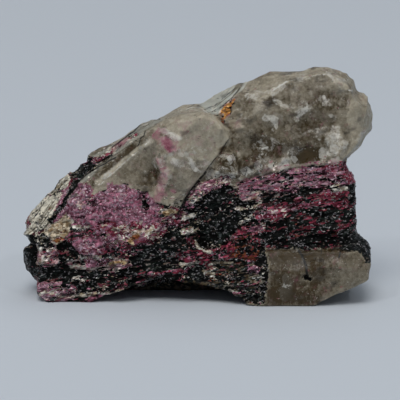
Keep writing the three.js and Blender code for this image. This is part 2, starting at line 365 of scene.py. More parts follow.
# A later zone covers an earlier one.
ZONES = [
    zone("ground", "0,0 400,0 400,400 0,400", 1, black=0.58, cream=0.05, red=0.22, tone=0.5, streak=0.6),
    quartz("quartz slab", "192,118 196,100 217,88 240,70 300,55 360,60 395,90 395,140 362,158 347,161 325,164 "
           "290,165 258,170 228,180 205,185 196,180 211,165 222,150 229,137 222,122 208,114", 2.5, 0.31, 0.5),
    quartz("slab core", "245,118 262,112 300,118 335,112 335,135 322,152 290,158 262,155 246,148 238,135",
           14, 0.19, 0.6),
    quartz("slab left", "231,112 233,98 240,91 250,95 258,106 252,117 238,118", 4, 0.36, 0.5),
    quartz("slab beside lobe", "222,121 231,126 246,128 250,142 246,152 230,152 224,149 231,138", 5, 0.18, 0.5),
    quartz("slab wedge", "246,84 256,82 272,92 263,103 254,99", 3, 0.42, 0.5),
    quartz("slab notch", "263,103 272,93 279,98 276,106", 4, 0.14, 0.5),
    quartz("slab deep", "246,134 262,128 268,148 250,152", 8, 0.07, 0.6),
    quartz("slab deep right", "296,124 320,120 324,148 300,152", 8, 0.13, 0.6),
    quartz("slab low", "254,140 300,142 320,148 316,156 300,158 270,158 252,160", 8, 0.04, 0.6),
    quartz("slab middle", "282,86 325,82 335,98 318,112 300,116 280,106", 8, 0.17, 0.5),
    quartz("slab shade", "318,96 336,94 350,98 352,110 322,112", 8, 0.08, 0.5),
    quartz("slab end", "352,84 395,80 395,145 345,158 345,150 350,140 345,115 350,98", 3, 0.32, 0.45),
    quartz("slab top", "240,60 360,50 360,72 330,76 300,80 283,86 270,96 248,104 240,90", 4, 0.3, 0.35, veil=0.05),
    quartz("sugary foot", "205,187 212,177 226,172 245,168 262,164 275,165 292,161 300,166 275,176 258,180 240,186 "
           "222,188", 6, 0.16, veil=0.5),
    quartz("sugary knob", "203,188 205,176 216,171 226,174 228,182", 4, 0.3, veil=0.8),
    quartz("white patch", "324,133 340,129 347,142 342,157 328,156", 5, 0.26, veil=0.7),
    quartz("lilac patch", "230,120 242,119 243,128 233,130", 5, 0.6, blush=0.4),
    zone("plates", "188,112 190,70 217,55 243,50 246,84 233,97 222,112 212,116",
         3, glass=0.97, cream=0.8, black=0.2, tone=0.55, plate=1, calm=0.7),
    zone("plates rim", "190,109 204,99 214,92 224,85 238,80", 2, width=3, glass=1, tone=0.1, plate=0.3),
    zone("rust stain", "217,118 222,108 229,101 235,99 231,111 224,121",
         3, glass=0.03, rust=0.88, black=0.06, cream=0.03, tone=0.45, blush=1),
    zone("rust shade", "214,113 224,112 226,124 217,122", 3, glass=0.6, rust=0.45, black=0.5, tone=0.2),
    zone("left slope", "74,172 70,120 111,100 143,80 190,70 190,108 165,120 140,138 122,154 104,172 88,184 74,182",
         3, glass=0.95, cream=0.6, black=0.3, red=0.06, tone=0.3, plate=0.35, calm=0.3, streak=1),
    quartz("wedge quartz", "189,90 205,108 222,121 231,137 222,150 210,168 197,182 186,198 180,210 168,212 157,205 "
           "140,190 118,188 96,193 84,197 84,190 96,180 110,167 125,154 140,138 163,118", 3, 0.46, 0.35),
    quartz("lobe face", "170,125 190,112 208,116 222,130 222,145 208,165 190,180 176,190 168,170 170,148",
           9, 0.56, 0.75, veil=-0.12, blush=0.2),
    quartz("lobe low", "166,162 190,160 206,168 196,182 184,200 168,206 152,202 158,186", 12, 0.3, 0.6, blush=0.1),
    # A dark band below the slope's ridge: painted shade.
    quartz("slope low", "84,184 96,172 112,160 124,150 134,142 138,148 126,158 112,170 98,184 90,190",
           4, 0.09, 0.4),
    quartz("above hollow", "134,142 148,130 160,134 164,152 152,150 140,150", 6, 0.24, 0.5),
    quartz("wedge hollow", "104,187 116,174 134,159 150,148 160,156 164,170 159,184 142,191 120,190",
           9, 0.31, 0.75, veil=-0.2),
    # Darker at the hollow's lower right: painted shade in the recess.
    quartz("hollow dark", "134,184 146,171 158,162 165,172 161,187 150,192 138,191", 14, 0.12, 0.8, veil=-0.2),
    zone("hollow lip", "98,183 112,171 126,160 141,149 152,139",
         3, width=5, glass=0.97, cream=1, tone=0.62, veil=0.2),
    quartz("pink stain", "152,137 158,126 166,129 173,136 180,148 176,156 166,151 158,144",
           5, 0.42, blush=0.5, veil=0.2),
    quartz("stain core", "160,137 166,136 172,142 175,151 169,153 163,146", 4, 0.24, blush=1.25),
    quartz("stain start", "150,134 157,128 163,131 160,138 152,140", 3, 0.4, blush=0.75),
    zone("stain streak", "160,160 166,172 160,188 156,200", 4, width=9, glass=1, tone=0.42, blush=0.72, veil=0.4),
    zone("lobe pink line", "171,190 180,194 190,191", 2, width=2.5, glass=1, tone=0.4, blush=1),
    quartz("lobe pink end", "155,189 164,187 167,196 158,200", 5, 0.4, blush=0.9),
    zone("lobe foot", "163,198 180,190 190,190 184,203 176,211 164,211",
         4, glass=0.75, cream=0.4, black=0.45, tone=0.42, calm=0.4),
    # Lighter along the lobe's chamfered rim: painted light where the chamfer faces the light.
    zone("lobe rim", "214,117 225,128 228,138 222,148 211,165 199,179", 4, width=6, glass=1, tone=0.68, calm=0.8),
    quartz("grey knob", "215,158 222,152 236,154 239,168 228,175 216,172", 3, 0.06, veil=0.25),
    zone("slope black", "72,184 70,150 80,150 92,158 112,152 106,161 92,169 80,179 74,187",
         2, black=0.76, cream=0.18, glass=0.05, plate=0.5, streak=1),
    zone("slope red", "93,164 103,157 113,150", 2, width=4, red=0.7, black=0.2, cream=0.06, streak=1),
    zone("slope blush", "113,149 122,143 127,139", 3, width=4, glass=0.8, cream=0.5, red=0.3, tone=0.45, blush=0.9),
    zone("slope brown", "130,138 137,134", 2, width=3, glass=0.1, red=0.3, black=0.6),
    zone("slope pale", "114,142 124,135 134,129", 2, width=4, glass=1, tone=0.66, calm=0.5),
    zone("left band", "4,228 10,200 34,170 50,158 64,154 70,168 70,183 64,198 56,211 49,226 40,240 24,242",
         2.5, black=0.18, cream=0.76, red=0.04, glass=0.04, plate=1, calm=0.85),
    zone("pink mica", "52,216 60,200 76,192 92,196 120,187 148,192 158,204 178,208 176,214 160,224 130,227 98,226 "
         "74,227 56,230", 4, black=0.03, cream=0.02, red=0.05, blush=0.5),
    zone("bright pink", "108,184 128,184 132,196 120,202 106,198", 6, black=0.02, cream=0.1, blush=0.9),
    zone("pink left", "62,192 76,183 92,186 92,200 86,214 64,218", 5, black=0, cream=0.26, blush=1),
    zone("band thick black", "51,220 57,212 64,203", 2, width=6, black=0.95, cream=0.03),
    zone("band black", "64,202 70,191 77,182 85,173 92,168", 2, width=3.6, black=0.9, cream=0.08),
    zone("mica shade", "84,201 98,199 102,210 90,214", 5, black=0.3, red=0.1, blush=0.3),
    zone("mica streak", "143,194 147,208", 2.5, width=4, black=0.85),
    zone("mica white", "74,228 92,227", 2, width=3, cream=0.8),
    zone("mica pale", "92,226 102,221 112,224 110,232 96,233", 3, cream=0.2, red=0.2, blush=0.8),
    zone("end black", "36,240 38,228 41,216", 1.5, width=1.6, black=0.8, cream=0.2),
    zone("end tan", "38,248 40,236 46,230 52,224 60,219 66,213 72,222 70,232 60,244 52,254 40,252",
         3, cream=0.9, black=0.02, rust=0.06, tone=0.72),
    zone("end rust", "56,240 60,238", 3, width=4, rust=0.55, cream=0.2, red=0.25, blush=0.4),
    zone("end tip red", "14,232 20,214 32,210 31,224 24,234", 3, red=0.4, cream=0.3, black=0.2),
    zone("end white", "36,266 36,242 46,238 57,246 60,256 57,266", 3, cream=0.6, black=0.1, red=0.12, blush=0.9),
    zone("end speckle", "38,236 44,233 50,238 48,247 38,248", 3, cream=0.5, black=0.42),
    zone("end dark side", "5,236 30,234 36,244 37,276 28,280 5,280", 2, black=0.97, cream=0.01, red=0.02, calm=0.6),
    zone("mixed grains", "105,232 112,224 140,222 163,222 168,232 160,244 130,244 106,242",
         4, red=0.42, cream=0.36, black=0.05, blush=0.3, streak=0.3),
    zone("pink ledge", "98,220 110,219 112,227 100,229", 3, black=0.08, cream=0.2, red=0.1, blush=0.8),
    zone("yellow grain", "131,241 138,237", 3, width=6, cream=0.6, rust=0.3, tone=1),
    zone("white grain", "149,234 153,227", 3, width=5, cream=0.85),
    zone("cream grain", "163,214 177,212", 3, width=7, cream=0.92, rust=0.06, tone=0.85),
    zone("red grain", "163,222 177,221", 4, width=8, red=0.6, cream=0.1, black=0.1),
    zone("rosy lump", "72,242 85,236 103,238 106,250 95,257 78,255", 3, red=0.12, cream=0.1, blush=0.9),
    zone("dark pocket", "57,247 66,238 74,246 82,256 80,262 62,266", 3, black=0.76, cream=0.1, red=0.05),
    zone("foot dark", "36,266 60,268 70,272 98,270 112,268 130,258 150,247 172,250 182,262 180,280 140,284 112,284 "
         "90,281 60,280 36,278", 3, black=0.8, red=0.08, cream=0.07, streak=1),
    zone("foot wisps", "66,262 80,257 96,256 112,257 128,259 132,266 112,272 98,272 84,270 70,270",
         3, cream=0.34, red=0.15, black=0.26, blush=0.6, streak=1),
    zone("foot lump", "84,260 92,258 99,262 96,268 86,268", 2, red=0.25, cream=0.1, black=0.02, blush=0.6),
    zone("foot cream", "70,267 75,265 79,266", 2, width=3, cream=0.95),
    zone("foot grey", "93,258 103,257 111,256", 2, width=3.5, cream=0.6, black=0.2),
    zone("foot tan", "111,263 118,262 126,263", 2, width=4, cream=0.85, rust=0.1, tone=0.9),
    zone("foot curl", "72,279 78,278 84,282", 2, width=3, cream=0.7, black=0.2, blush=0.3),
    zone("foot pink", "30,280 60,281 72,283 76,292 74,300 34,302",
         3, cream=0.16, black=0.42, red=0.04, blush=1, streak=1),
    zone("foot blob", "74,284 90,283 104,286 102,292 80,295", 2.5, black=0.88, cream=0.05),
    zone("foot edge", "60,297 90,295 126,290", 2, width=3, cream=0.75, black=0.1, streak=1),
    zone("foot corner red", "34,277 38,284", 3, width=5, red=0.6, black=0.3),
    zone("centre black", "152,244 170,231 190,223 185,206 198,190 226,184 246,193 252,214 238,232 222,244 205,250 "
         "182,252 165,256", 4, black=0.86, cream=0.05, red=0.05, streak=0.25),
    zone("centre right", "236,206 262,206 258,222 238,226", 4, black=0.62, cream=0.28, red=0.04),
    zone("under lobe", "160,204 178,207 187,212 186,219 176,222 160,225",
         4, black=0.26, cream=0.3, red=0.26, blush=0.5),
    zone("under lobe cream", "165,213 171,211 177,212", 2, width=5, cream=0.97, tone=0.8),
    zone("under lobe streak", "183,219 193,216", 2, width=4, cream=0.9, black=0.05),
    zone("centre pink", "190,205 200,190 212,184 226,181", 5, width=11, black=0.3, red=0.05, cream=0.3, blush=0.6),
    zone("centre cream", "183,232 192,230", 3, width=6, cream=0.8, rust=0.05),
    zone("cream streak", "241,222 247,219 254,216", 2, width=4, cream=0.85, black=0.1),
    zone("maroon arm", "188,240 200,254 210,263 218,266 230,255 246,232",
         3, width=5, red=0.34, black=0.58, streak=1),
    zone("vug rim", "195,241 198,247 204,251 211,252", 1.5, width=3.4, cream=1.0),
    zone("cream line", "180,264 198,262", 2, width=3.5, cream=0.75, black=0.15),
    zone("box border", "180,270 190,265 204,268 204,278 186,279", 2, width=4, cream=0.22, black=0.66),
    zone("black box", "186,269 201,268 202,277 187,277", 2, black=0.97, cream=0.0),
    zone("red streaks", "158,273 182,271", 3, width=4, red=0.55, black=0.35, streak=1),
    zone("rear mid", "205,262 240,258 262,262 262,306 240,304 218,290 206,280",
         5, glass=0.22, black=0.78, cream=0.08, red=0.06, tone=0.05, streak=1),
    zone("rust spots", "213,276 228,279", 4, width=8, rust=0.16, cream=0.34, red=0.04, black=0.42),
    zone("pink spot", "250,269 256,270", 3, width=6, black=0.1, blush=0.5),
    zone("band one", "236,183 262,175 300,168 345,163 372,163 372,180 320,186 290,191 266,196 248,196 240,190",
         6, black=0.26, red=0.14, cream=0.08, blush=0.6, streak=1),
    zone("skirt", "262,172 280,167 300,164 320,162 338,161",
         4, width=5, glass=0.72, tone=0.4, veil=0.35, black=0.1, cream=0.3, red=0.1, blush=0.5),
    quartz("brown quartz", "293,151 308,147 319,148 321,161 308,163 294,164", 5, -0.2, 0.6, veil=-0.1),
    quartz("brown quartz low", "228,160 246,156 266,154 266,162 248,167 232,168", 5, 0.02, 0.3, veil=0.2),
    zone("band end red", "340,162 372,158 372,182 344,180", 4, red=0.65, black=0.2, streak=1),
    zone("band dark one", "243,206 275,197 310,191 335,188 372,189",
         3, width=5, black=0.66, red=0.12, cream=0.02, streak=1),
    zone("band lilac", "240,193 256,190 276,189 278,198 262,203 242,203",
         5, black=0.3, cream=0.3, red=0.08, blush=0.8, streak=1),
    zone("band two", "260,214 272,211 300,203 345,198 372,198",
         4, width=13, red=0.46, black=0.34, cream=0.03, blush=0.2, streak=1),
    zone("band knot", "266,202 280,199 291,200", 3, width=6, black=0.85, red=0.05, streak=1),
    zone("band white", "264,220 278,215 292,209",
         4, width=10, cream=0.26, red=0.42, black=0.04, blush=0.7, streak=1),
    zone("band grey", "335,187 352,186", 3, width=6, cream=0.5, black=0.3, streak=1),
    zone("band right end", "347,184 374,182 374,236 350,236", 4, black=0.78, red=0.16, streak=1),
    zone("band pink blob", "256,228 266,222", 4, width=8, black=0.55, red=0.1, cream=0.1, streak=0.6),
    zone("rust grains", "224,262 230,240 248,230 262,232 262,262",
         5, red=0.18, rust=0.16, black=0.63, cream=0.02, streak=0.5),
    zone("dark grains", "262,230 300,212 372,204 372,250 340,252 262,252",
         5, black=0.78, red=0.16, rust=0.03, cream=0.02, streak=0.7),
    quartz("lower quartz", "266,249 300,251 342,248 364,251 372,262 400,262 400,330 250,330 256,306 264,297 "
           "262,284 266,273 265,262", 2, 0.0, 0.85, veil=-0.3),
    quartz("lower quartz right", "340,252 362,253 372,264 395,264 395,300 330,306 322,285",
           34, 0.26, 0.85, veil=-0.3),
    quartz("lower quartz edge", "322,300 345,294 372,284 400,280 400,310 322,310", 8, 0.55, 0.85, veil=-0.3),
    # Darker along the top of the lower quartz: painted shade under the mica above it.
    quartz("lower quartz top", "266,250 345,249 347,257 300,259 266,262", 7, -0.16, 0.85, veil=-0.3),
    zone("dark cap", "338,238 358,230 390,236 390,263 366,263 361,253 345,251 340,249",
         2.5, black=0.97, red=0.02, calm=0.6),
    zone("lower edge dark", "262,250 265,270 261,300", 3, width=7, black=0.9, cream=0.06, glass=0.06),
    zone("crack spot", "306,277 309,279", 1.5, width=4, black=0.95, cream=0),
    zone("arch shade", "125,288 150,281 215,282 240,302 236,330 120,330", 3, glass=0.5, black=1, tone=-0.4, calm=1),
    # A dark spot at the step beside the lobe: painted shade.
    zone("dark hollow", "220,151 225,147", 2, width=4, glass=1, tone=0),
]

# White flaws in the quartz: a line, its width and how white it is.
FLAWS = [
    ("246,96 256,90 270,92 284,84 300,79 330,74", 4.0, 0.6),
    ("271,93 276,90 284,84", 7.0, 0.75),
    ("246,88 256,94 264,101", 11.0, 0.5),
    ("274,100 284,106 297,106 305,103", 7.0, 0.65),
    ("296,118 300,112 308,109", 8.0, 0.7),
    ("265,119 274,120 275,130", 7.0, 0.65),
    ("262,148 268,147", 2.4, 1.0),
    ("322,97 329,104", 8.0, 0.6),
    ("326,73 332,78 340,80", 8.0, 0.6),
    ("328,114 334,117", 5.0, 0.6),
    ("310,132 324,128 338,129", 5.0, 0.65),
    ("366,96 370,112 367,126 358,142", 5.0, 0.6),
    ("228,121 240,117 246,116", 6.0, 0.5),
    ("187,150 197,160 205,166", 13.0, 0.5),
    ("213,149 219,145", 5.0, 0.6),
    ("162,130 170,134 179,138", 6.0, 0.8),
    ("155,161 166,155 178,152 187,153", 7.0, 0.75),
    ("176,162 190,166 202,170", 8.0, 0.6),
    ("218,158 226,155 234,160", 6.0, 0.6),
    ("284,160 289,162 285,168", 6.0, 0.9),
    ("103,178 112,172 120,166", 5.0, 0.45),
    ("157,162 168,176 162,188", 9.0, 0.6),
    ("265,140 280,150 300,148", 14.0, 0.35),
    ("283,286 290,288", 5.0, 0.3),
    ("340,296 352,289 366,283", 4.0, 0.6),
    ("262,262 262,296", 4.0, 0.45),
]

# Flat broken faces of the quartz: an outline, its slope, and how far in from its edge it goes on falling.
FACETS = [
    ("240,40 240,92 256,88 270,92 284,83 300,79 334,74 345,77 345,40", 0.3, 14),
    ("243,80 256,84 272,90 262,103 250,98", 0.25, 6),
    ("300,84 330,80 350,92 346,112 318,118 303,104", 0.14, 14),
    ("236,128 262,130 290,144 288,162 240,164 226,150", 0.22, 14),
    ("288,118 312,108 340,118 338,132 300,142", 0.2, 10),
    ("316,128 345,126 352,142 345,160 322,160", -0.14, 10),
]

# Lumps and hollows: an outline, its height in millimetres and how soft its edge is.
LUMPS = [
    ("138,171 151,171 154,184 140,187", -0.5, 6),
    ("10,228 33,230 35,272 10,274", 1.3, 4),
    ("262,74 300,66 330,66 326,76 296,82 272,92", 0.3, 3),
    ("72,242 85,236 103,238 106,250 95,257 78,255", 0.8, 6),
    ("215,174 217,160 223,152 233,153 238,162 239,176", 1.0, 3),
    ("278,164 280,154 288,152 292,160", 0.7, 3),
    ("243,168 250,158 262,158 268,166", 0.5, 4),
    ("326,158 324,136 338,130 345,142 342,158", 0.2, 4),
]

# Clefts that are cut in: a line, its width and its depth in millimetres.
CLEFTS = [
    ("227,143 222,151 212,167 200,181 188,198 181,209", 1.8, 0.4),
    ("301,250 306,265 308,279", 1.6, 0.15),
    ("259,249 300,250 342,248", 3.0, 0.5),
    ("36,266 60,267 76,271 100,270 114,266", 4.0, 0.6),
    ("60,246 66,254 76,258", 7.0, 0.8),
    ("140,246 160,240 185,246", 6.0, 0.8),
    ("202,242 208,246", 6.0, 1.2),
    ("228,184 258,176 290,169 325,165 356,162", 3.0, 0.15),
]
SLAB_END = "356,92 400,92 400,150 358,146"             # the slab is slimmer here at the back
SLOPE = "0,250 22,226 45,195 75,168 112,148 150,125 190,112 215,109 232,94 243,80 262,50"

# Thin lines, each with half its width: dark cracks and seams, then bright lines, which are mostly painted
# highlights and glints on ridges, rims and single grains, with a few pale cream edges.
CRACKS = [
    # The first two lines, along the lobe's edge, are partly a crack and partly painted shade in the crevice behind
    # the lobe.
    ("230,136 229,139 222,150 209,167 197,182", 0.45),
    ("206,172 197,182 187,196 181,208 178,214", 1.0),
    ("299,250 302,256 306,266 308,279", 1.3),
    ("322,249 321,255", 0.7),
    ("243,165 247,170 245,176", 0.5),
    ("262,161 260,167 264,172", 0.5),
    ("276,161 273,166 278,170", 0.6),
    ("228,175 234,181", 0.5),
    ("206,176 212,183", 0.5),
    ("341,249 339,257", 0.9),
    ("97,264 108,255 122,249 135,247 150,243 158,241", 0.9),
    ("72,237 71,245 76,252 83,256 92,256", 0.9),
    ("34,266 48,265 60,268 72,270", 0.8),
    ("58,246 66,240 72,236", 0.6),
    ("258,209 276,203 296,196 314,190", 1.6),
    ("250,200 270,196 290,190", 0.5),
    ("300,207 322,202 345,199", 0.6),
    ("270,226 284,221 300,216 316,214", 0.9),
    ("216,262 228,257 240,248 250,240", 0.5),
    ("150,262 166,259 180,262", 0.7),
    ("100,278 120,274 140,271", 0.7),
    ("137,147 140,143 141,138 144,136 145,131", 0.6),
    ("112,147 125,138 134,131 140,124", 0.8),
    ("86,158 96,147 108,138 122,131", 0.4),
    ("124,129 136,121 146,118 160,119", 0.6),
    ("74,184 88,174 100,166 116,157", 0.8),
    ("70,178 84,169 98,162 112,155", 0.9),
    ("188,108 198,102 208,95 220,86 232,82", 0.35),
    ("204,110 216,105 226,96 236,88", 0.4),
    ("212,112 222,106 232,98 240,88", 0.45),
]
GLINTS_AND_PALE_EDGES = [
    ("101,185 105,179 113,173 124,163", 0.5),
    ("124,163 131,157 137,152", 0.4),
    ("186,110 192,107 200,108 208,113", 0.4),
    ("262,148.5 268,147", 0.8),
    ("273,91 279,86 286,82", 0.8),
    ("349,90 352,91", 0.7),
    ("286,82 296,79 312,76 330,74", 0.3),
    ("126,249 140,247 155,244", 0.3),
    ("184,270 186,267 192,265 201,267 205,271 204,279", 0.5),
    ("80,256 82,260", 0.9),
    ("233,187 234,189", 0.6),
    ("243,203 246,204", 0.5),
    ("244,213 246,215", 0.4),
    ("230,215 231,216", 0.4),
    ("225,232 227,234", 0.4),
    ("288,231 290,232", 0.4),
    ("298,250 300,251", 0.5),
    ("317,206 318,207", 0.5),
    ("149,262 151,263", 0.4),
    ("103,155 105,156", 0.7),
    ("199,248 206,252 212,253", 0.6),
    ("342,250 350,244 360,244", 0.2),
]

# Broken faces of the quartz that are paler, whiter or darker than what they lie in. The pale faces are partly paler
# quartz and partly painted light on facets that face it; the dark faces are partly darker quartz and partly painted
# shade in creases under ridges and along the slope.
PALE_AND_LIT_FACES = [
    "240,90 247,82 262,77 284,73 310,68 332,68 335,73 312,76 296,79 285,84 277,91 268,97 260,103 255,101 250,94",
    "352,82 362,78 400,78 400,150 362,160 346,157 352,141 346,117 351,100",
    "274,99 281,101 291,106 299,107 304,104 303,110 293,113 281,107",
    "329,137 334,132 340,133 345,142 342,152 333,153",
    "189,152 192,149 196,164 192,168",
    "197,158 202,155 207,165 201,168",
    "168,150 176,160 172,176 164,188 160,184 166,170",
    "326,74 336,74 346,80 350,90 342,90 334,82",
    "284,125 289,124 291,130 286,132",
]
WHITE_FACES = [
    "266,117 272,115 279,118 278,126 276,131 274,125 270,121",
    "296,118 298,112 304,108 309,106 307,112 302,116 298,120",
    "322,96 325,95 328,103 324,102",
    "328,115 332,113 335,117 331,118",
    "329,136 334,132 340,134 338,142 333,141",
    "330,146 336,144 340,149 336,154 331,153",
    "279,163 285,160 289,163 288,169 283,171 277,168",
    "254,162 259,160 263,166 259,172 254,168",
    "240,170 247,166 252,171 246,177",
    "268,164 273,162 276,167 271,170",
    "222,176 230,172 236,177 228,181",
    "205,173 212,169 220,173 216,178 208,178",
    "227,157 230,155 233,162 230,165",
    "318,150 323,147 329,152 326,159 319,158",
    "290,157 295,155 298,160 294,164",
    "330,159 338,156 343,162 335,166",
    "327,72 331,73 334,79 330,79",
    "190,166 196,167 200,171 194,172",
    "166,131 174,134 181,139 176,142 168,137",
    "173,157 177,160 173,166 170,162",
    "190,158 193,160 195,167 191,166",
    "164,132 170,133 177,137 176,140 169,138",
    "157,160 162,158 166,161 161,164",
    "338,294 352,289 365,284 364,286 350,292",
]
DARK_AND_SHADED_FACES = [
    "235,97 241,91 249,96 256,104 251,112 239,110 233,104",
    "262,103 270,97 277,99 278,106 268,108",
    "104,168 120,152 134,140 138,146 124,158 110,170",
    "264,292 282,284 300,290 296,300 272,303",
]


FADE = (-8, 12)         # from here to here behind TARGET the drawing wanders off and its lines fade out
CLIMB = 0.12            # how steeply the mica's layers climb to the right


def paint(p):
    """Each mineral's share and each look's strength at points in millimetres."""
    u, v = drawn(p)
    inner = smooth(p[:, 1] - TARGET[1], *FADE)
    u = u + rough(p, 2.2, 3) * 2.2 + rough(p, 13, 4) * 16 * inner
    v = v + rough(p, 2.0, 5) * 1.8 + rough(p, 13, 6) * 16 * inner
    shares = {m: np.zeros(len(p)) for m in GRAINS + LOOKS}
    for outline, width, soft, painted in ZONES:
        cover = smooth(depth_in(outline, u, v, width), -soft / 2, soft / 2)
        if width:
            cover *= 1 - inner
        for m in LOOKS:
            shares[m] += (painted.get(m, PLAIN_TONE if m == "tone" else 0) - shares[m]) * cover
        for m in GRAINS if painted.get("glass", 0) < 1 else []:
            shares[m] += (painted.get(m, 0) - shares[m]) * cover
    for line, width, white in FLAWS:
        cover = smooth(depth_in(line, u, v, width), -1.5, 1.5) * (1 - inner)
        shares["veil"] = np.maximum(shares["veil"], white * cover)
    for m in ("plate", "calm"):
        shares[m] *= 1 - 0.7 * inner
    gather(p, shares)
    return shares


def along_layers(p):
    """Places shifted so that the mica's layers lie level."""
    return np.stack([p[:, 0], p[:, 1], p[:, 2] - CLIMB * p[:, 0]], axis=1)


def gather(p, shares):
    """Gathers each mineral into streaks and knots along the layers, with the same amounts overall."""
    names = GRAINS + ["pink"]
    shares["pink"] = np.clip(1 - sum(shares[m] for m in GRAINS), 0, 1)
    lie = along_layers(p)
    weight = {m: shares[m] * np.exp(2.1 * rough(lie, (4.6, 4.6, 1.1), 211 + 9 * k)) for k, m in enumerate(names)}
    total = sum(weight.values()) + 1e-6
    for m in names:
        shares[m] = weight[m] / total


# ---------------------------------------------------------------- the stone's fine surface
VOXEL = 0.00034         # metres
EASING = 7              # rounds that take the voxels' steps away
MARGIN = 0.02           # how far the surface stays inside the solid's box
INSET = 0.25            # how far the whole surface sinks, to make room for what rises


def read(mesh, what="co"):
    """Vertex places or normals as rows of three."""
    values = np.zeros(len(mesh.vertices) * 3, np.float32)
    if what == "co":
        mesh.vertices.foreach_get("co", values)
    else:
        mesh.vertex_normals.foreach_get("vector", values)
    return values.reshape(-1, 3).astype(float)


def move(mesh, p):
    """Puts the vertices at places in millimetres and gives their normals."""
    mesh.vertices.foreach_set("co", (p / 1000).astype(np.float32).ravel())
    mesh.update()
    return read(mesh, "normal")


def remeshed(source, voxel):
    """The CAD solid's surface as an even mesh."""
    o = bpy.data.objects.new("stone", source.data.copy())
    scene.collection.objects.link(o)
    remesh = o.modifiers.new("remesh", "REMESH")
    remesh.mode = "VOXEL"
    remesh.voxel_size = voxel
    mesh = bpy.data.meshes.new_from_object(o.evaluated_get(bpy.context.evaluated_depsgraph_get()))
    o.modifiers.clear()
    o.data = mesh
    return o


def relaxed(p, mesh, rounds, amount):
    """Places eased towards the mean of their neighbours; amount is from 0 to 1 at each."""
    ends = np.zeros(len(mesh.edges) * 2, np.int64)
    mesh.edges.foreach_get("vertices", ends)
    a, b = ends[0::2], ends[1::2]
    count = np.bincount(ends, minlength=len(p)).astype(float)[:, None]
    for _ in range(rounds):
        total = np.stack([np.bincount(a, p[b, k], len(p)) + np.bincount(b, p[a, k], len(p)) for k in range(3)], 1)
        p = p + (total / count - p) * amount[:, None]
    return p


stone = remeshed(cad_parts["lepidolite_rock"], VOXEL)
mesh = stone.data
place = read(mesh) * 1000
shares = paint(place)
glass = shares["glass"]
mica = 1 - glass
place = relaxed(place, mesh, EASING, 0.25 + 0.35 * mica)
normal = move(mesh, place)
u, v = drawn(place)
front = smooth(-place[:, 1], 2, 8)

# Broken quartz: big shell-like faces, small chips, and a fine ripple.
sugar = smooth(shares["veil"], 0.1, 0.5)
quartz_rise = (1.2 * dishes(place, 8.5, 101) + (0.22 + 0.4 * sugar) * dishes(place, 3.0, 131)
               + (0.08 + 0.4 * sugar) * dishes(place, 1.2, 171))
quartz_rise = (quartz_rise + 0.06 * rough(place, 4, 9) - 0.1) * (1 - 0.8 * shares["calm"])

# Mica and tourmaline: thin broken layers, grains, and pits between them.
layered = along_layers(place)
layers = rough(layered, (6, 6, 1.3), 21) + 0.6 * rough(layered, (2.4, 2.4, 0.8), 25)
gap, cell = cells(layered, (0.95, 0.95, 0.75), 61)
pit = smooth(rough(layered, (3.2, 3.2, 1.6), 33), 0.25, 0.6)
mica_rise = 0.42 * layers + 0.26 * (hashed(cell, 77) - 0.5) - 0.12 * (1 - smooth(gap, 0, 0.25)) - 0.8 * pit
mica_rise += 0.35 * rough(place, 3.2, 41)
ends = smooth(np.abs(normal[:, 0]), 0.6, 0.9)          # the two ends are cut across flat
mica_rise *= (1 - 0.75 * shares["calm"]) * (1 - 0.5 * ends)
mica_rise -= 0.7 * smooth(shares["black"], 0.5, 0.9) * front * smooth(u, 345, 325)

# The drawing's clefts, lumps and flat faces, and fine layers that run up the left slope.
cut = np.zeros(len(place))
ragged = wandering(place, u, v, 1.6, 51, 2)
for line, width, deep in CLEFTS:
    cut += deep * smooth(depth_in(line, *ragged, width), -1.2, width / 2) * front
stripe = np.stack([depth_in(SLOPE, u, v, 60), u * 0.06, v * 0.06], axis=1)
stripe = 0.5 + 0.5 * rough(stripe, 1.3, 301, 2)
rise = glass * quartz_rise + mica * mica_rise - cut
ragged = wandering(place, u, v, 1.5, 71, 2)
for outline, height, soft in LUMPS:
    rise += height * smooth(depth_in(outline, *ragged), -1, soft) * front
rise -= 0.75 * smooth(depth_in(SLAB_END, u, v), 0, 8) * smooth(place[:, 1], 14, 6)
rise += 0.3 * shares["plate"] * (smooth(stripe, 0.4, 0.6) - 0.5)
ragged = wandering(place, u, v, 3, 61, 3)
for outline, fall, reach in FACETS:
    rise -= fall * SQUARE * np.clip(depth_in(outline, *ragged), 0, reach) * front * glass

base = smooth(place[:, 2], 0.1, 1.2)          # the faces that it rests on stay flat
place = place + normal * ((rise - INSET) * base)[:, None]
low, high = [np.array(corner) * 1000 for corner in cad_box]
place = np.clip(place, low + MARGIN, high - MARGIN)
normal = move(mesh, place)

# ---------------------------------------------------------------- what the material reads from the mesh
# bright holds mostly painted highlights and glints; pale and dark partly painted light and shade on quartz faces;
# shade is painted shade in pits and clefts, and edge sets painted highlight on ridges and painted shade in hollows.
CHANNELS = {
    "mix_a": ["glass", "black", "cream", "streak"],
    "mix_b": ["red", "rust", "tone"],
    "mix_c": ["veil", "blush", "shade"],
    "mix_d": ["edge", "stripe", "plate", "calm"],
    "mix_e": ["crack", "bright", "pale", "dark"],
    "mix_f": ["white"],
}


def colour_attribute(mesh, name, channels):
    values = np.ones((len(mesh.vertices), 4), np.float32)
    for k, channel in enumerate(channels):
        values[:, k] = channel
    mesh.color_attributes.new(name, "FLOAT_COLOR", "POINT").data.foreach_set("color", values.ravel())


AT_EDGE = 0.65


def sharp(shapes, u, v):
    """AT_EDGE at the edges of lines or faces and more inside them, so that the material can draw sharp edges."""
    most = np.zeros(len(u))
    for shape in shapes:
        line, half = shape if isinstance(shape, tuple) else (shape, 0)
        most = np.maximum(most, np.clip(depth_in(line, u, v, 2 * half) / 3 + AT_EDGE, 0, 1.2))
    return most


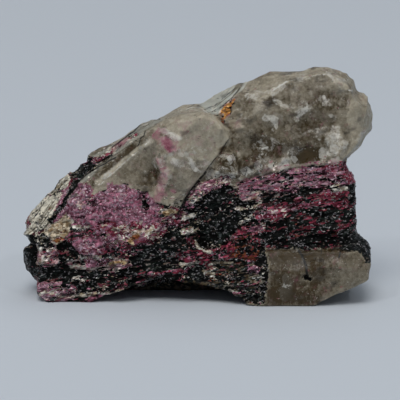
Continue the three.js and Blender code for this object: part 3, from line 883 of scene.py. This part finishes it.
shares = paint(place)
eased = relaxed(place, mesh, 5, np.full(len(place), 0.7))
painting = {
    **shares,
    # pits and clefts darken the colour: painted shade
    "shade": np.clip(pit + 0.6 * cut, 0, 1),
    "edge": np.clip(0.5 + np.sum((place - eased) * normal, axis=1) * 3.2, 0, 1),        # above 0.5 it stands out
    "stripe": stripe,
}
ragged = wandering(place, *drawn(place), 1.5, 81, 0.8)
seen = smooth(normal @ np.array(TO_CAMERA), -0.05, 0.12)
for name, shapes in [("crack", CRACKS), ("bright", GLINTS_AND_PALE_EDGES), ("pale", PALE_AND_LIT_FACES), ("dark", DARK_AND_SHADED_FACES),
                     ("white", WHITE_FACES)]:
    painting[name] = seen * sharp(shapes, *ragged)
for name, channels in CHANNELS.items():
    colour_attribute(mesh, name, [painting[channel] for channel in channels])
for face in mesh.polygons:
    face.use_smooth = True


# ---------------------------------------------------------------- the stone's material
def channels_of(t):
    """The mesh's channels by name, as sockets."""
    found = {}
    for name, channels in CHANNELS.items():
        colour = t.attribute(name, "Color")
        for k, channel in enumerate(channels):
            found[channel] = t.part(colour, k) if k < 3 else t.attribute(name, "Alpha")
    return types.SimpleNamespace(**found)


def grain_cells(t, m, here, leaning):
    """A random colour for each grain: two sizes of grain, and grains drawn out where streak is painted."""
    size_pick = t.ramp(t.noise(here, 260, 2), 0.42, 0.5, kind="LINEAR")
    grain = t.mix(size_pick, t.grains(leaning, 1150), t.grains(leaning, 2500))
    streaky = t.add(m.streak, t.swing(t.noise(here, 600, 2), 0.8))
    drawn_out = t.leaning(here, 9, (2.9, 1.4, 0.7))
    return t.mix(t.ramp(streaky, 0.48, 0.54, kind="LINEAR"), grain, t.grains(drawn_out, 2000))


def minerals(t, m, leaning, pick):
    """Whether each grain is black, cream, red or rust: its random number against the painted shares.

    Streaks run along the layers, because each mineral swells and fades with its own noise."""
    first = t.noise(leaning, 430, 4, 0.6, out="Color")
    second = t.noise(t.vector("ADD", leaning, (0.31, 0.17, 0.23)), 430, 4, 0.6, out="Color")
    pink_share = t.minus(1.0, t.add(t.add(m.black, m.cream), t.add(m.red, m.rust)), clamp=True)
    swells = t.parts(first) + [t.part(second, 0), t.part(second, 1)]
    upto = []
    for share, swell in zip((m.black, m.cream, m.red, m.rust, pink_share), swells):
        weight = t.times(t.math("POWER", share, 1.5), t.math("EXPONENT", t.swing(swell, 5.0)))
        upto.append(t.add(upto[-1], weight) if upto else weight)
    limits = [t.math("DIVIDE", limit, upto[-1]) for limit in upto[:-1]]
    return [t.ramp(t.minus(limit, pick), -0.02, 0.02, kind="LINEAR") for limit in limits]


def grain_colour(t, m, here, chosen, shade_pick, tilt_pick):
    """The colours of pink mica, rust, red stain, cream feldspar and black tourmaline, each grain its own shade."""
    is_black, is_cream, is_red, is_rust = chosen
    pink = t.mix(t.ramp(t.noise(here, 620, 6, 0.7), 0.34, 0.66), srgb(104, 44, 66), srgb(208, 140, 162))
    pink = t.mix(t.ramp(shade_pick, 0, 1, 0.0, 0.95), pink, srgb(86, 34, 52))
    pink = t.mix(t.times(m.blush, t.ramp(shade_pick, 0.5, 1)), pink, srgb(222, 190, 204))

    rust = t.mix(shade_pick, srgb(64, 34, 22), srgb(138, 74, 40))
    rust = t.mix(m.blush, rust, t.mix(shade_pick, srgb(168, 92, 34), srgb(255, 196, 112)))
    red = t.mix(shade_pick, srgb(58, 16, 24), srgb(150, 58, 78))
    black = t.mix(t.ramp(shade_pick, 0.6, 1), srgb(7, 9, 8), srgb(33, 42, 37))

    tan = t.ramp(m.tone, 0.5, 0.9)
    light = t.ramp(t.add(t.noise(here, 800, 6, 0.7), t.swing(shade_pick, 0.1)), 0.38, 0.62)
    cream = t.mix(light, t.mix(tan, srgb(150, 136, 112), srgb(132, 98, 60)),
                  t.mix(tan, srgb(228, 223, 212), srgb(206, 182, 140)))
    rosy = t.times(m.blush, t.ramp(t.noise(here, 500, 4), 0.4, 0.6, 0, 0.7))
    cream = t.mix(rosy, cream, srgb(186, 120, 136))
    thin_layers = t.mix(t.ramp(m.stripe, 0.32, 0.46), srgb(90, 82, 62), srgb(212, 206, 188))
    cream = t.mix(t.times(m.plate, 0.75), cream, thin_layers)

    colour = pink
    for share, mineral in ((is_rust, rust), (is_red, red), (is_cream, cream), (is_black, black)):
        colour = t.mix(share, colour, mineral)
    return t.scaled(colour, t.ramp(tilt_pick, 0, 1, 0.72, 1.28))


PALEST = 0.85           # from this level on, quartz is milky and turns to pure white


def smoky(t, level):
    """Smoky quartz from its darkest to its palest, with a step to milky at PALEST."""
    colours = t.node("ShaderNodeValToRGB", inputs={0: level})
    ramp = colours.node.color_ramp
    ramp.elements.new(PALEST)
    ramp.elements.new(PALEST)
    shades = [srgb(58, 44, 15), srgb(192, 183, 162), [(c + 2) / 3 for c in srgb(147, 132, 99)], (1, 1, 1)]
    for stop, colour in zip(ramp.elements, shades):
        stop.color = (*colour, 1)
    return colours


def quartz_colour(t, m, here, bend, clouds, milky, inside):
    """Smoky quartz: clouds, white flaws on bent planes, and pink where the mica stains it."""
    uneven = t.times(t.swing(clouds, 0.37), t.blend(m.calm, 1.0, 0.35))
    uneven = t.add(uneven, t.times(t.swing(milky, 0.7), t.blend(m.calm, 1.0, 0.75)))
    # Pale and dark faces: partly the quartz's own tone, partly painted light on facets and painted shade in
    # creases.
    level = t.add(m.tone, uneven, inside(m.pale, 0.58, 0.76, 0.17, 1.6))
    level = t.minus(level, inside(m.dark, 0.55, 0.8, 0.13))
    striae = t.swing(t.noise(t.squeezed(here, (1, 1, 0.12)), 1500, 4, 0.7), 0.35)
    # edge makes ridges lighter and hollows darker: painted highlight and painted shade.
    level = t.add(level, t.times(striae, t.ramp(m.tone, 0.2, 0.06)), t.swing(m.edge, 0.2))

    white = 0.0
    for scale, share, much in ((170, 0.46, 0.27), (430, 0.55, 0.3)):
        broken = t.grains(bend, scale)
        rise = t.node("ShaderNodeVectorMath", out="Value", operation="DOT_PRODUCT",
                      inputs={0: t.vector("SUBTRACT", bend, broken.node.outputs["Position"]), 1: t.centred(broken)})
        fade = t.ramp(t.times(rise, scale), 0.02, 0.34)
        white = t.add(white, t.times(fade, t.ramp(t.part(broken, 2), share, share + 0.1), much))
    flaw = t.add(t.noise(bend, 330, 10, 0.7), t.times(m.veil, 0.24))
    flaw = t.times(t.ramp(flaw, 0.60, 0.66), t.ramp(milky, 0.38, 0.62, 0.12, 0.75))
    dust = t.grains(here, 1500, out="Distance")
    dust = t.times(t.ramp(dust, 0.24, 0.10), t.ramp(t.part(dust.node.outputs["Color"], 0), 0.72, 0.78))
    frosted = t.times(inside(m.white, 0.58, 0.7, 1.0, 2.2), t.ramp(milky, 0.3, 0.6, 0.15, 0.6))
    white = t.add(t.times(white, t.blend(m.calm, 1.0, 0.25)), flaw, t.times(dust, 0.5), frosted)

    quartz = t.mix(t.math("MULTIPLY", white, 1.0, clamp=True), smoky(t, level), srgb(198, 194, 184))
    plates = t.mix(t.ramp(m.stripe, 0.30, 0.44), srgb(58, 58, 44), srgb(184, 190, 184))
    quartz = t.mix(t.times(m.plate, 0.85), quartz, plates)
    stain = t.add(t.noise(bend, 420, 9, 0.72), t.times(m.blush, 0.3))
    pinks = t.mix(t.ramp(stain, 0.72, 0.95), srgb(170, 104, 124), srgb(122, 46, 70))
    return t.mix(t.ramp(stain, 0.54, 0.92, 0.0, 0.92), quartz, pinks)


def stone_material():
    t = Tree("raw stone")
    m = channels_of(t)
    where = t.node("ShaderNodeTexCoord", out="Object")
    here = t.vector("ADD", where, t.scaled(t.centred(t.noise(where, 900, 2, out="Color")), 0.0005))
    leaning = t.leaning(here, 7, (1.45, 1.25, 0.9))
    bend = t.vector("ADD", here, t.scaled(t.noise(here, 160, 8, 0.6, out="Color"), 0.012))
    clouds = t.noise(here, 150, 10, 0.66)
    milky = t.noise(here, 900, 8, 0.78)
    ragged = t.swing(milky, 0.25)

    def inside(field, low=0.6, high=0.72, much=1.0, rag=1.0):
        """How far inside painted lines or faces a place is, with ragged edges."""
        return t.ramp(t.add(field, t.times(ragged, rag)), low, high, 0.0, much)

    grain = grain_cells(t, m, here, leaning)
    pick, shade_pick, tilt_pick = t.parts(grain)
    chosen = minerals(t, m, leaning, pick)
    is_black, is_rust = chosen[0], chosen[3]
    grains = grain_colour(t, m, here, chosen, shade_pick, tilt_pick)
    quartz = quartz_colour(t, m, here, bend, clouds, milky, inside)

    # A grain at the edge of the quartz is all quartz or none.
    is_glass = t.ramp(t.minus(m.glass, tilt_pick), -0.06, 0.06, kind="LINEAR")
    is_glass = t.times(is_glass, t.ramp(m.glass, 0.02, 0.1))
    grime = t.times(t.ramp(t.noise(leaning, 640, 6, 0.7), 0.44, 0.62), 0.5)
    grime = t.times(grime, t.minus(1.0, t.math("MAXIMUM", is_black, is_rust), clamp=True))
    colour = t.mix(is_glass, t.mix(grime, grains, srgb(48, 36, 34)), quartz)
    # Bright lines: mostly painted highlights and glints, with a few pale cream edges.
    colour = t.mix(inside(m.bright, much=0.7), colour, srgb(214, 212, 204))
    colour = t.mix(inside(m.crack, much=0.92, rag=0.3), colour, srgb(22, 20, 16))
    # Painted shade in pits and clefts.
    colour = t.mix(t.times(m.shade, 0.5), colour, srgb(16, 13, 13))
    # Painted shade in hollows of the surface, strong on mica and faint on quartz.
    hollow = t.times(t.ramp(m.edge, 0.5, 0.1), t.blend(is_glass, 0.6, 0.1))
    colour = t.mix(hollow, colour, srgb(16, 13, 13))

    # Flat grain faces and broken planes of quartz catch the light one by one.
    around = t.node("ShaderNodeNewGeometry", out="Normal")
    faceted = t.vector("NORMALIZE", t.vector("ADD", around, t.scaled(t.centred(grain), 1.15)))
    chip = t.grains(bend, 900)
    chipped = t.scaled(t.centred(chip), t.blend(m.veil, 0.2, 0.6))
    planes = t.scaled(t.centred(t.grains(bend, 280)), t.blend(m.calm, 0.42, 0.1))
    glassy = t.vector("NORMALIZE", t.vector("ADD", around, t.vector("ADD", chipped, planes)))
    height = t.add(t.noise(here, 1300, 4, 0.6), t.times(shade_pick, 0.6))
    normal = t.bump(height, 0.35, 0.00025, Normal=t.mix(is_glass, faceted, glassy))

    rough_mica = t.blend(is_black, t.ramp(shade_pick, 0, 1, 0.55, 0.25), t.ramp(shade_pick, 0.3, 1, 0.5, 0.1))
    rough_glass = t.blend(t.ramp(t.part(chip, 1), 0.86, 0.9), t.ramp(clouds, 0.35, 0.65, 0.37, 0.56),
                          t.blend(m.calm, 0.1, 0.36))
    gloss = t.add(t.ramp(shade_pick, 0.72, 0.97, 0.05, 0.8), t.times(m.calm, 0.1))
    shader = t.shader(colour, t.blend(is_glass, rough_mica, rough_glass), t.blend(is_glass, gloss, 0.3), normal)
    t.put(shader.inputs["Subsurface Weight"], t.times(is_glass, 0.22))
    shader.inputs["Subsurface Radius"].default_value = (1.0, 0.85, 0.7)
    shader.inputs["Subsurface Scale"].default_value = 0.0010
    shader.inputs["IOR"].default_value = 1.54
    return t.material


# ---------------------------------------------------------------- the stone in two pieces
def part_of(whole, name, keep):
    """A copy of the stone with only the faces where keep is true."""
    o = whole.copy()
    o.data = whole.data.copy()
    o.name = o.data.name = name
    scene.collection.objects.link(o)
    shape = bmesh.new()
    shape.from_mesh(o.data)
    shape.faces.ensure_lookup_table()
    bmesh.ops.delete(shape, geom=[shape.faces[k] for k in np.flatnonzero(~keep)], context="FACES")
    shape.to_mesh(o.data)
    shape.free()
    return o


mesh.materials.clear()
mesh.materials.append(stone_material())
corner = np.zeros(len(mesh.loops), np.int32)
mesh.loops.foreach_get("vertex_index", corner)
starts = np.zeros(len(mesh.polygons), np.int32)
mesh.polygons.foreach_get("loop_start", starts)
mostly_quartz = np.add.reduceat(shares["glass"][corner], starts) > 0.5 * np.diff(np.append(starts, len(corner)))
quartz_part = part_of(stone, "smoky_quartz", mostly_quartz)
mica_part = part_of(stone, "mica_and_tourmaline", ~mostly_quartz)
bpy.data.objects.remove(stone)

# ---------------------------------------------------------------- flakes and needles that stand in the surface
SIDES = 6


def six_sided(centres, up, along, radius, half, stretch):
    """One mesh of thin six-sided plates or prisms: rows of centres, directions and sizes in millimetres."""
    n = len(centres)
    across = np.cross(up, along)
    turn = np.linspace(0, 2 * math.pi, SIDES, endpoint=False)
    uneven = 1 + 0.25 * (rng.random((n, SIDES)) - 0.5)
    ring = (np.cos(turn)[None, :, None] * along[:, None] * stretch[:, None, None]
            + np.sin(turn)[None, :, None] * across[:, None]) * (radius[:, None] * uneven)[:, :, None]
    upper = centres[:, None] + ring + (up * half[:, None])[:, None]
    lower = centres[:, None] + ring - (up * half[:, None])[:, None]
    points = np.concatenate([upper, lower], axis=1).reshape(-1, 3)
    one = [tuple(range(SIDES)), tuple(range(2 * SIDES - 1, SIDES - 1, -1))]
    one += [(i, i + SIDES, (i + 1) % SIDES + SIDES, (i + 1) % SIDES) for i in range(SIDES)]
    faces = [tuple(2 * SIDES * k + i for i in face) for k in range(n) for face in one]
    return points, faces


def unit(v):
    return v / np.maximum(np.linalg.norm(v, axis=1, keepdims=True), 1e-9)


def scatter(name, chance, count, radius, thickness, stretch, wild, palette, sink):
    """Plates scattered over the stone where chance is high, leaning out of it at random."""
    chance = chance * (place[:, 2] > 1.0)
    picked = rng.choice(len(place), size=count, replace=False, p=chance / chance.sum())
    up = unit(normal[picked] + wild * rng.normal(size=(count, 3)))
    along = unit(np.cross(up, rng.normal(size=(count, 3)) + (0, 0, 2.0)))
    size = radius[0] + (radius[1] - radius[0]) * rng.random(count) ** 2
    half = np.full(count, thickness) * (0.6 + 0.8 * rng.random(count))
    centre = place[picked] + normal[picked] * (sink * size)[:, None]
    reach = (size * stretch * 1.2 + half)[:, None]
    fits = np.all((centre - reach > low) & (centre + reach < high), axis=1)
    centre, up, along, size, half = (x[fits] for x in (centre, up, along, size, half))
    points, faces = six_sided(centre, up, along, size, half, np.full(len(size), stretch))
    o = bpy.data.objects.new(name, bpy.data.meshes.new(name))
    o.data.from_pydata((points / 1000).tolist(), [], faces)
    shade = rng.random(len(size))
    tint = np.array(palette)[rng.integers(0, len(palette), len(size))] * (0.55 + 0.9 * shade[:, None])
    colour_attribute(o.data, "tint", [np.repeat(tint[:, k], 2 * SIDES) for k in range(3)])
    scene.collection.objects.link(o)
    return o


def flake_material(name, roughness, scale, specular):
    t = Tree(name)
    where = t.node("ShaderNodeTexCoord", out="Object")
    tint = t.attribute("tint", "Color")
    lines = t.noise(t.squeezed(where, scale), 2200, 3)
    colour = t.mix(t.ramp(lines, 0.35, 0.75), tint, t.mix(0.5, tint, (0.75, 0.7, 0.72)))
    t.shader(colour, t.ramp(lines, 0.3, 0.7, *roughness), specular, t.bump(lines, 0.3, 0.0001))
    return t.material


bare = smooth(shares["glass"], 0.4, 0.05) * (1 - 0.9 * shares["plate"]) * (1 - shares["calm"]) * (1 - 0.7 * ends)
flakes = scatter("mica_flakes", bare * smooth(shares["pink"] + 0.5 * shares["red"], 0.2, 0.7) + 1e-6, 4200,
                 radius=(0.10, 0.30), thickness=0.03, stretch=1.15, wild=0.45, sink=-0.08,
                 palette=[srgb(144, 82, 106), srgb(120, 58, 80), srgb(178, 128, 148)])
flakes.data.materials.append(flake_material("mica flakes", (0.14, 0.34), (1, 1, 3), 0.6))
needles = scatter("tourmaline_needles", bare * shares["black"] + 1e-6, 3000,
                  radius=(0.10, 0.22), thickness=0.07, stretch=2.4, wild=0.4, sink=-0.15,
                  palette=[srgb(10, 11, 10), srgb(14, 16, 16), srgb(22, 19, 19)])
needles.data.materials.append(flake_material("black tourmaline", (0.08, 0.26), (3, 1, 1), 0.36))
for piece in (quartz_part, mica_part, flakes, needles):
    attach(piece, "root")
    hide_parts("lepidolite_rock")

# ---------------------------------------------------------------- floor
FLOOR = [(-4, -3, 0), (4, -3, 0), (4, 6, 0), (-4, 6, 0)]          # its corners, in metres
floor_mesh = bpy.data.meshes.new("floor")
floor_mesh.from_pydata(FLOOR, [], [(0, 1, 2, 3)])
floor = bpy.data.objects.new("floor", floor_mesh)
scene.collection.objects.link(floor)
t = Tree("pale floor")
t.shader(srgb(205, 212, 220), 0.8)
floor_mesh.materials.append(t.material)
